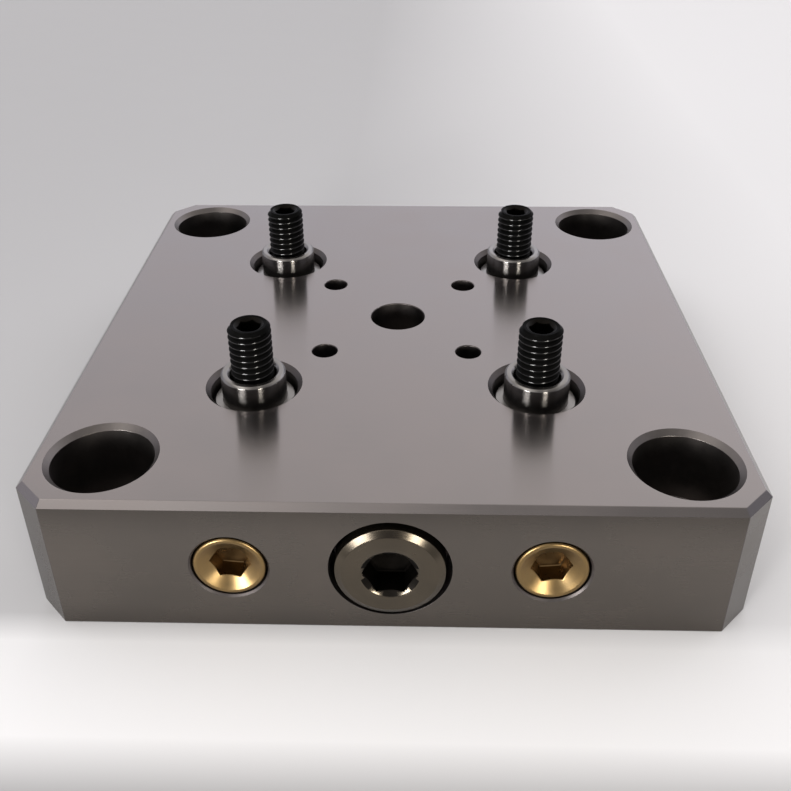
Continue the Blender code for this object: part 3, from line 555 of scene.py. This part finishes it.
for label, sx, sy in CORNERS:
    shape = bmesh.new()
    root = COVER_THREAD - COVER_DEPTH
    face = eased([(1.6, 0.0), (2.82, 0.0), (2.9, 0.08), (COVER_THREAD, 1.4)], 0.05)
    head = list(reversed(key_hole(2.0, 0.0, 1.0, 1.3))) + [ring(r, z) for r, z in face]
    skin(shape, head + [ring(root, COVER_NECK)])
    thread(shape, COVER_NECK, COVER_END, COVER_THREAD, COVER_DEPTH, COVER_PITCH)
    skin(shape, [ring(root, COVER_END), ring(0.0, COVER_END)])
    screw = piece_of("cover_screw_%s_finished" % label, shape, (black_oxide,))
    screw.location = (sx * COVER_SCREW_X * MM, sy * COVER_SCREW_Y * MM, COVER_SINK * MM)
    fit(screw, "cover_screw_" + label, "base")


# The thrust washer and the rear bush: turned bronze.  The washer lies in the recess under the
# spindle's head, and the bush carries the spindle's tail in the plate.
BRONZE_COLOUR = (0.50, 0.31, 0.15)
bronze = metal(
    "bronze", BRONZE_COLOUR, roughness=0.28, lay="turned", fine=2400.0, patch=5.0,
    shade=0.12, uneven=0.05, depth=0.0012, tint=(1.0, 0.94, 0.86),
)


def collar_line(inner, outer, low, high):
    """The section of a plain washer or bush."""
    return [(inner, low), (outer, low), (outer, high), (inner, high)]


washer_line = collar_line(6.3, 8.95, -54.8, -53.4)
washer = turned("thrust_washer_finished", washer_line, (bronze,), ease=0.1, closed=True)
fit(lay_back(washer), "thrust_washer", "base")
bush_line = collar_line(3.7, 5.5, 13.8, 21.8)
bush = turned("rear_bush_finished", bush_line, (bronze,), ease=0.25, closed=True)
fit(lay_back(bush), "rear_bush", "base")


# The shim washer and the retaining ring: thin spring steel, blued.  The ring snaps into the
# spindle's groove behind the front shank, and the shim takes up the play before it.
SPRING_COLOUR = (0.085, 0.09, 0.11)


def blued(name, lay):
    return metal(
        name, SPRING_COLOUR, roughness=0.27, lay=lay, fine=2600.0, patch=4.0,
        shade=0.2, uneven=0.06, depth=0.001, tint=(0.92, 0.97, 1.08),
    )


def finish_solid(node, material):
    """Gives a plain solid that stays in view its real finish."""
    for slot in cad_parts[node].material_slots:
        slot.material = material


shim_line = collar_line(6.3, 8.6, -17.7, -16.5)
shim = turned("shim_washer_finished", shim_line, (blued("spring_steel", "turned"),), ease=0.06, closed=True)
fit(lay_back(shim), "shim_washer", "base")
finish_solid("retaining_ring", blued("blued_strip", "along x"))


# The drive spindle: turned from one bar and hardened, with a broad head for a hex key, a
# shank, a left-hand and a right-hand thread for the two yokes, and a tail in the rear bush.
MACHINED_COLOUR = (0.094, 0.081, 0.063)
# Nearly black: painted shade inside the hex key holes.
KEY_PAINTED_SHADE_COLOUR = (0.009, 0.008, 0.007)
machined_steel = metal(
    "machined_steel", MACHINED_COLOUR, roughness=0.25, lay="turned", fine=2600.0, patch=7.0,
    shade=0.10, uneven=0.04, depth=0.0006, stretch=0.6,
)
key_painted_shade = metal(
    "key_painted_shade", KEY_PAINTED_SHADE_COLOUR, roughness=0.5, lay="none", fine=1500.0, patch=3.0,
    shade=0.25, uneven=0.08, depth=0.002,
)
SPINDLE_HEAD, SPINDLE_FACE, SPINDLE_BREAK = 8.98, -61.1, 1.15
SPINDLE_KEY, SPINDLE_MOUTH, SPINDLE_KEY_DEPTH = 8.0, 4.85, 5.0
SPINDLE_SHANK, SPINDLE_GROOVE, SPINDLE_TAIL = 6.0, 5.0, 3.4
SPINDLE_THREAD, SPINDLE_DEPTH, SPINDLE_PITCH = 4.0, 0.8, 1.25
SPINDLE_ROOT = SPINDLE_THREAD - SPINDLE_DEPTH
head_line = [
    (5.6, SPINDLE_FACE), (SPINDLE_HEAD - SPINDLE_BREAK, SPINDLE_FACE), (SPINDLE_HEAD, SPINDLE_FACE + 0.62),
    (SPINDLE_HEAD, -55.1), (SPINDLE_SHANK, -55.1), (SPINDLE_SHANK, -16.35), (SPINDLE_GROOVE, -16.35),
    (SPINDLE_GROOVE, -14.85), (SPINDLE_SHANK, -14.85), (SPINDLE_SHANK, -13.65), (SPINDLE_ROOT, -13.45),
]


def shade_key_hole_walls(piece, radius, low, high):
    """Paints the walls of a key hole in the piece's second, darker material: painted shade in the hollow.
    """
    for side in piece.data.polygons:
        x, y, z = side.center / MM
        side.material_index = 1 if low < z < high and math.hypot(x, y) < radius else 0


shape = bmesh.new()
key_rings = list(reversed(key_hole(SPINDLE_KEY, SPINDLE_FACE, SPINDLE_KEY_DEPTH, SPINDLE_MOUTH)))
skin(shape, key_rings + [ring(r, z) for r, z in eased(head_line, 0.10)] + [ring(SPINDLE_ROOT, -13.4)])
thread(shape, -13.4, -1.5, SPINDLE_THREAD, SPINDLE_DEPTH, SPINDLE_PITCH, hand=-1.0)
skin(shape, [ring(SPINDLE_ROOT, -1.5), ring(SPINDLE_ROOT, 1.5)])
thread(shape, 1.5, 13.5, SPINDLE_THREAD, SPINDLE_DEPTH, SPINDLE_PITCH)
skin(shape, [
    ring(SPINDLE_ROOT, 13.5), ring(SPINDLE_TAIL, 13.8), ring(SPINDLE_TAIL, 20.9),
    ring(SPINDLE_TAIL - 0.3, 21.2), ring(0.0, 21.2),
])
spindle = piece_of("drive_spindle_finished", shape, (machined_steel, key_painted_shade))
# The walls of the key hole are painted near black: painted shade.
shade_key_hole_walls(spindle, SPINDLE_KEY * 0.585, SPINDLE_FACE + 0.25, SPINDLE_FACE + 8.0)
fit(lay_back(spindle), "drive_spindle", "spindle")


# The yokes: two milled steel bars on the spindle's threads, one for each pair of pins.  They
# part as the spindle turns and push the pins outwards.
YOKE_COLOUR = (0.20, 0.19, 0.18)
yoke_steel = metal(
    "yoke_steel", YOKE_COLOUR, roughness=0.33, lay="along x", fine=2400.0, patch=8.0,
    shade=0.12, uneven=0.06, depth=0.0012,
)
for end in ("front", "rear"):
    finish_solid(end + "_yoke", yoke_steel)


# The locking pins: hardened round pins, ground and polished.  Each hooks into its yoke by a
# neck and a head, and its nose goes into the neck of a pull stud.
POLISHED_COLOUR = (0.205, 0.198, 0.191)
polished_steel = metal(
    "polished_steel", POLISHED_COLOUR, roughness=0.19, lay="turned", fine=3000.0, patch=6.0,
    shade=0.06, uneven=0.03, depth=0.0002, stretch=1.0,
)
PIN, PIN_NECK, PIN_NOSE, PIN_TIP = 3.5, 2.0, 2.7, 17.8
pin_shape = [
    (0.0, 3.41), (PIN, 3.41), (PIN, 6.39), (PIN_NECK, 6.39), (PIN_NECK, 10.375), (PIN, 10.375),
    (PIN, 17.0), (PIN_NOSE, PIN_TIP), (0.0, PIN_TIP),
]
for end, way in (("front", -1), ("rear", 1)):
    for label, side in SIDES:
        pin = turned("locking_pin_%s_%s_finished" % (end, label), pin_shape, (polished_steel,), ease=0.15)
        pin.rotation_euler = (-way * math.pi / 2, 0.0, 0.0)
        pin.location = (side * STUD_OFF * MM, 0.0, AXIS_HIGH * MM)
        fit(pin, "locking_pin_%s_%s" % (end, label), end + "_slide")


# The brass plugs: turned brass, screwed into the mouths of the two pin bores with a hex key
# until they lie just inside the front face.  A wide cone leads into the key hole.
BRASS_COLOUR = (0.222, 0.153, 0.072)
# Darker brass for the walls of the key holes: painted shade in the hollow.
BRASS_PAINTED_SHADE_COLOUR = (0.17, 0.112, 0.052)
brass = metal(
    "brass", BRASS_COLOUR, roughness=0.335, lay="turned", fine=2600.0, patch=4.0,
    shade=0.08, uneven=0.05, depth=0.0012, tint=(1.0, 0.95, 0.85),
)
brass_painted_shade = metal(
    "brass_painted_shade", BRASS_PAINTED_SHADE_COLOUR, roughness=0.3, lay="none", fine=1500.0, patch=3.0,
    shade=0.25, uneven=0.08, depth=0.002,
)
PLUG_FACE, PLUG_TURNS = -59.9, {"left": 5.0, "right": -6.0}
PLUG_KEY, PLUG_MOUTH, PLUG_KEY_DEPTH = 6.0, 5.1, 4.5
PLUG_THREAD, PLUG_DEPTH, PLUG_PITCH, PLUG_ROOT = 5.95, 0.65, 1.0, 5.3
plug_rim = [
    (5.16, PLUG_FACE), (5.65, PLUG_FACE), (PLUG_THREAD, PLUG_FACE + 0.3),
    (PLUG_THREAD, -57.6), (PLUG_ROOT, -57.3),
]
for label, side in SIDES:
    shape = bmesh.new()
    plug_key = key_hole(PLUG_KEY, PLUG_FACE, PLUG_KEY_DEPTH, PLUG_MOUTH, turn=PLUG_TURNS[label], slope=0.6)
    skin(shape, list(reversed(plug_key)) + [ring(r, z) for r, z in eased(plug_rim, 0.2)])
    thread(shape, -57.3, -52.7, PLUG_THREAD, PLUG_DEPTH, PLUG_PITCH)
    skin(shape, [ring(PLUG_ROOT, -52.7), ring(PLUG_ROOT - 0.3, -52.4), ring(0.0, -52.4)])
    plug = piece_of("brass_plug_%s_finished" % label, shape, (brass, brass_painted_shade))
    # The walls of the key hole are painted darker: painted shade.
    shade_key_hole_walls(plug, PLUG_KEY / 2 + 0.5, PLUG_FACE + 1.45, PLUG_FACE + 6.0)
    fit(lay_back(plug, side * STUD_OFF), "brass_plug_" + label, "base")


# The pull studs: hardened and polished, standing loose in their bores until the pins hold
# them down by the neck.  A collar stands above the plate and locates the vise.
STUD_FOOT, STUD_NECK, STUD_HEAD, STUD_BOTTOM, STUD_SHOULDER = 7.3, 4.775, 7.7, 5.9, 23.4
COLLAR, COLLAR_BORE, COLLAR_TOP, COLLAR_BREAK = 5.95, 4.3, 29.0, 0.4
stud_shape = [
    (0.0, STUD_BOTTOM), (6.9, STUD_BOTTOM), (STUD_FOOT, 6.3), (STUD_FOOT, 8.2), (STUD_NECK, 9.2),
    (STUD_NECK, 16.8), (STUD_HEAD, 18.0), (STUD_HEAD, 23.0), (7.3, STUD_SHOULDER), (COLLAR, STUD_SHOULDER),
    (COLLAR, COLLAR_TOP - COLLAR_BREAK), (COLLAR - COLLAR_BREAK, COLLAR_TOP), (4.8, COLLAR_TOP),
    (COLLAR_BORE, 28.5), (COLLAR_BORE, 21.0), (0.0, 21.0),
]
for label, sx, sy in CORNERS:
    stud = turned("pull_stud_%s_finished" % label, stud_shape, (polished_steel,))
    stand_at(stud, sx * STUD_OFF, sy * STUD_OFF)
    fit(stud, "pull_stud_" + label, "stud_" + label)


# The set screws: M8 socket set screws, blackened and oiled, turned into the pull studs from
# above.  Their threads hold the vise's own clamping nuts, and the crests are rubbed smooth.
WORN_COLOUR = (0.006, 0.006, 0.006)
worn_black = metal(
    "worn_black", WORN_COLOUR, roughness=0.20, lay="turned", fine=2600.0, patch=3.0, shade=0.3,
    uneven=0.04, depth=0.0002, tint=(1.0, 0.97, 0.93), metallic=0.0, stretch=0.7, gloss=0.6,
)
SCREW_LOW, SCREW_HIGH, SCREW_OUT, SCREW_PITCH, SCREW_DEPTH = 22.8, 38.8, 3.93, 1.25, 0.66
SCREW_KEY, SCREW_MOUTH, SCREW_KEY_DEPTH = 4.0, 2.72, 4.5
SCREW_TURNS = {"front_left": 20.0, "front_right": 48.0, "rear_left": 5.0, "rear_right": 33.0}
WORN = 2
for label, sx, sy in CORNERS:
    shape = bmesh.new()
    thread(shape, SCREW_LOW, SCREW_HIGH, SCREW_OUT, SCREW_DEPTH, SCREW_PITCH)
    root = SCREW_OUT - SCREW_DEPTH
    skin(shape, [ring(root, SCREW_LOW), ring(1.6, SCREW_LOW), ring(0.0, SCREW_LOW + 0.8)])
    screw_key = key_hole(SCREW_KEY, SCREW_HIGH, SCREW_KEY_DEPTH, SCREW_MOUTH, into=-1.0)
    skin(shape, [ring(root, SCREW_HIGH)] + screw_key)
    screw = piece_of("set_screw_%s_finished" % label, shape, (black_oxide, key_painted_shade, worn_black))
    # The walls of the key hole are painted near black: painted shade.
    shade_key_hole_walls(screw, SCREW_MOUTH, SCREW_HIGH - 6.0, SCREW_HIGH - 0.02)
    for side in screw.data.polygons:
        if math.hypot(side.center.x, side.center.y) > (SCREW_OUT - 0.035) * MM:
            side.material_index = WORN
    screw.rotation_euler = (0.0, 0.0, math.radians(SCREW_TURNS[label]))
    stand_at(screw, sx * STUD_OFF, sy * STUD_OFF)
    fit(screw, "set_screw_" + label, "stud_" + label)


# The room: a pale painted floor, whose tone changes from left to right behind the plate and
# towards the camera.  The light is soft all round, with two gridded strips low in front.
FLOOR_HALF, FLOOR_DROP = 3.0, 0.00005
FLOOR_LEFT, FLOOR_RIGHT = (0.56, 0.56, 0.57, 1.0), (0.92, 0.92, 0.93, 1.0)
# The second band, dark grey and nearest the camera, is painted shade.
FLOOR_BANDS = ((-0.058, -0.064, 0.90), (-0.082, -0.093, 0.35))

floor_shape = bmesh.new()
bmesh.ops.create_grid(floor_shape, x_segments=2, y_segments=2, size=FLOOR_HALF)
floor_mesh = bpy.data.meshes.new("floor")
floor_shape.to_mesh(floor_mesh)
floor_shape.free()
floor = bpy.data.objects.new("floor", floor_mesh)
floor.location.z = -FLOOR_DROP
bpy.context.scene.collection.objects.link(floor)

paint = bpy.data.materials.new("floor_paint")
paint.use_nodes = True
tree = paint.node_tree
shader = tree.nodes["Principled BSDF"]
shader.inputs["Specular IOR Level"].default_value = 0.2
place = add_node(tree, "ShaderNodeTexCoord").outputs["Object"]
split = add_node(tree, "ShaderNodeSeparateXYZ")
tree.links.new(place, split.inputs[0])
coat = add_node(tree, "ShaderNodeMix", data_type="RGBA")
coat.inputs[6].default_value, coat.inputs[7].default_value = FLOOR_LEFT, FLOOR_RIGHT
tree.links.new(spread(tree, split.outputs["X"], -0.02, 0.12, 0.0, 1.0), coat.inputs["Factor"])
for start, end, tone in FLOOR_BANDS:
    nearer = add_node(tree, "ShaderNodeMix", data_type="RGBA")
    nearer.inputs[7].default_value = (tone, tone, tone * 1.01, 1.0)
    tree.links.new(coat.outputs[2], nearer.inputs[6])
    tree.links.new(spread(tree, split.outputs["Y"], start, end, 0.0, 1.0), nearer.inputs["Factor"])
    coat = nearer
tree.links.new(coat.outputs[2], shader.inputs["Base Color"])
grain = noise(tree, place, 60.0, 2.0)
tree.links.new(spread_noise(tree, grain, 0.80, 0.88), shader.inputs["Roughness"])
floor_mesh.materials.append(paint)

world = bpy.data.worlds.new("studio")
world.use_nodes = True
bpy.context.scene.world = world
tree = world.node_tree
way = add_node(tree, "ShaderNodeTexCoord").outputs["Generated"]
split = add_node(tree, "ShaderNodeSeparateXYZ")
tree.links.new(way, split.inputs[0])
to_right, to_rear, to_top = (split.outputs[axis] for axis in "XYZ")
aside = add_node(tree, "ShaderNodeMath", operation="ABSOLUTE")
tree.links.new(to_right, aside.inputs[0])


def passing(way, start, end, before, after):
    """Goes over from one level of light to another, as a direction goes from start to end."""
    made = add_node(tree, "ShaderNodeMix")
    tree.links.new(spread(tree, way, start, end, 0.0, 1.0), made.inputs["Factor"])
    for socket, value in zip(made.inputs[2:4], (before, after)):
        if isinstance(value, float):
            socket.default_value = value
        else:
            tree.links.new(value, socket)
    return made.outputs[0]


# In front the room is dark below, and above it falls off from a bright left to a dim right.
# Behind, it grows brighter to the right.
LIGHT_ABOVE, LIGHT_LOW_ASIDE, LIGHT_LOW_BEHIND, LIGHT_RIGHT = 0.75, 0.7, 0.4, 0.45
front_high = spread(tree, to_right, -0.44, 0.02, 3.0, 0.46)
front_middle = spread(tree, to_top, 0.10, 0.50, 0.08, 0.28)
front_low = passing(aside.outputs[0], 0.78, 0.94, front_middle, LIGHT_LOW_ASIDE)
front = passing(to_top, 0.78, 0.95, passing(to_top, 0.60, 0.76, front_low, front_high), LIGHT_ABOVE)
rear_wall = spread(tree, to_right, -0.7, 0.7, 1.12, 1.92)
rear_high = passing(to_top, 0.42, 0.95, rear_wall, LIGHT_ABOVE)
rear = passing(to_top, 0.05, 0.40, LIGHT_LOW_BEHIND, rear_high)
level = passing(to_right, 0.78, 0.94, passing(to_rear, -0.35, 0.35, front, rear), LIGHT_RIGHT)

COOL_LOW, WARM_HIGH = (0.99, 0.985, 1.09, 1.0), (1.02, 0.985, 0.96, 1.0)
tone = add_node(tree, "ShaderNodeMix", data_type="RGBA")
tone.inputs[6].default_value, tone.inputs[7].default_value = COOL_LOW, WARM_HIGH
tree.links.new(spread(tree, to_top, 0.36, 0.66, 0.0, 1.0), tone.inputs["Factor"])
sky = tree.nodes["Background"]
tree.links.new(tone.outputs[2], sky.inputs["Color"])
tree.links.new(level, sky.inputs["Strength"])

STRIP_TALL, STRIP_MIDDLE, STRIP_SPREAD = 0.10, 0.070, math.radians(60.0)
for name, x, y, width, glow, colour in (
    ("strip_left", -0.220, -0.341, 0.150, 4.9, (1.0, 0.99, 0.98)),
    ("strip_right", 0.166, -0.373, 0.085, 4.2, (1.0, 0.96, 0.88)),
):
    light = bpy.data.lights.new(name, "AREA")
    light.shape, light.size, light.size_y = "RECTANGLE", width, STRIP_TALL
    light.energy = glow * math.pi * width * STRIP_TALL
    light.color, light.spread = colour, STRIP_SPREAD
    lamp = bpy.data.objects.new(name, light)
    lamp.location = (x, y, STRIP_MIDDLE)
    lamp.rotation_euler = Vector((-x, -y, 0.0)).to_track_quat("-Z", "Z").to_euler()
    lamp.visible_camera = False
    bpy.context.scene.collection.objects.link(lamp)


# The camera: in front of the plate and above it, close by, so that the rear looks smaller.
# Its place, aim and lens come from the edges and holes of the plate in the photograph.
CAMERA_PLACE = Vector((0.003909, -0.169453, 0.121216))
CAMERA_AIM = Vector((-0.000888, -0.003907, 0.020742))
CAMERA_ROLL, CAMERA_LENS, CAMERA_SENSOR = -0.0066236, 42.4915, 36.0
CAMERA_SHIFT_X, CAMERA_SHIFT_Y, CAMERA_NEAREST = 0.00283, -0.06078, 0.005
camera_data = bpy.data.cameras.new("camera")
camera_data.lens, camera_data.sensor_width = CAMERA_LENS, CAMERA_SENSOR
camera_data.shift_x, camera_data.shift_y = CAMERA_SHIFT_X, CAMERA_SHIFT_Y
camera_data.clip_start = CAMERA_NEAREST
camera = bpy.data.objects.new("camera", camera_data)
camera.location = CAMERA_PLACE
camera.rotation_euler = (CAMERA_AIM - CAMERA_PLACE).to_track_quat("-Z", "Y").to_euler()
camera.rotation_euler.rotate_axis("Z", CAMERA_ROLL)
bpy.context.scene.collection.objects.link(camera)
bpy.context.scene.camera = camera
bpy.context.scene.view_settings.view_transform = "Standard"
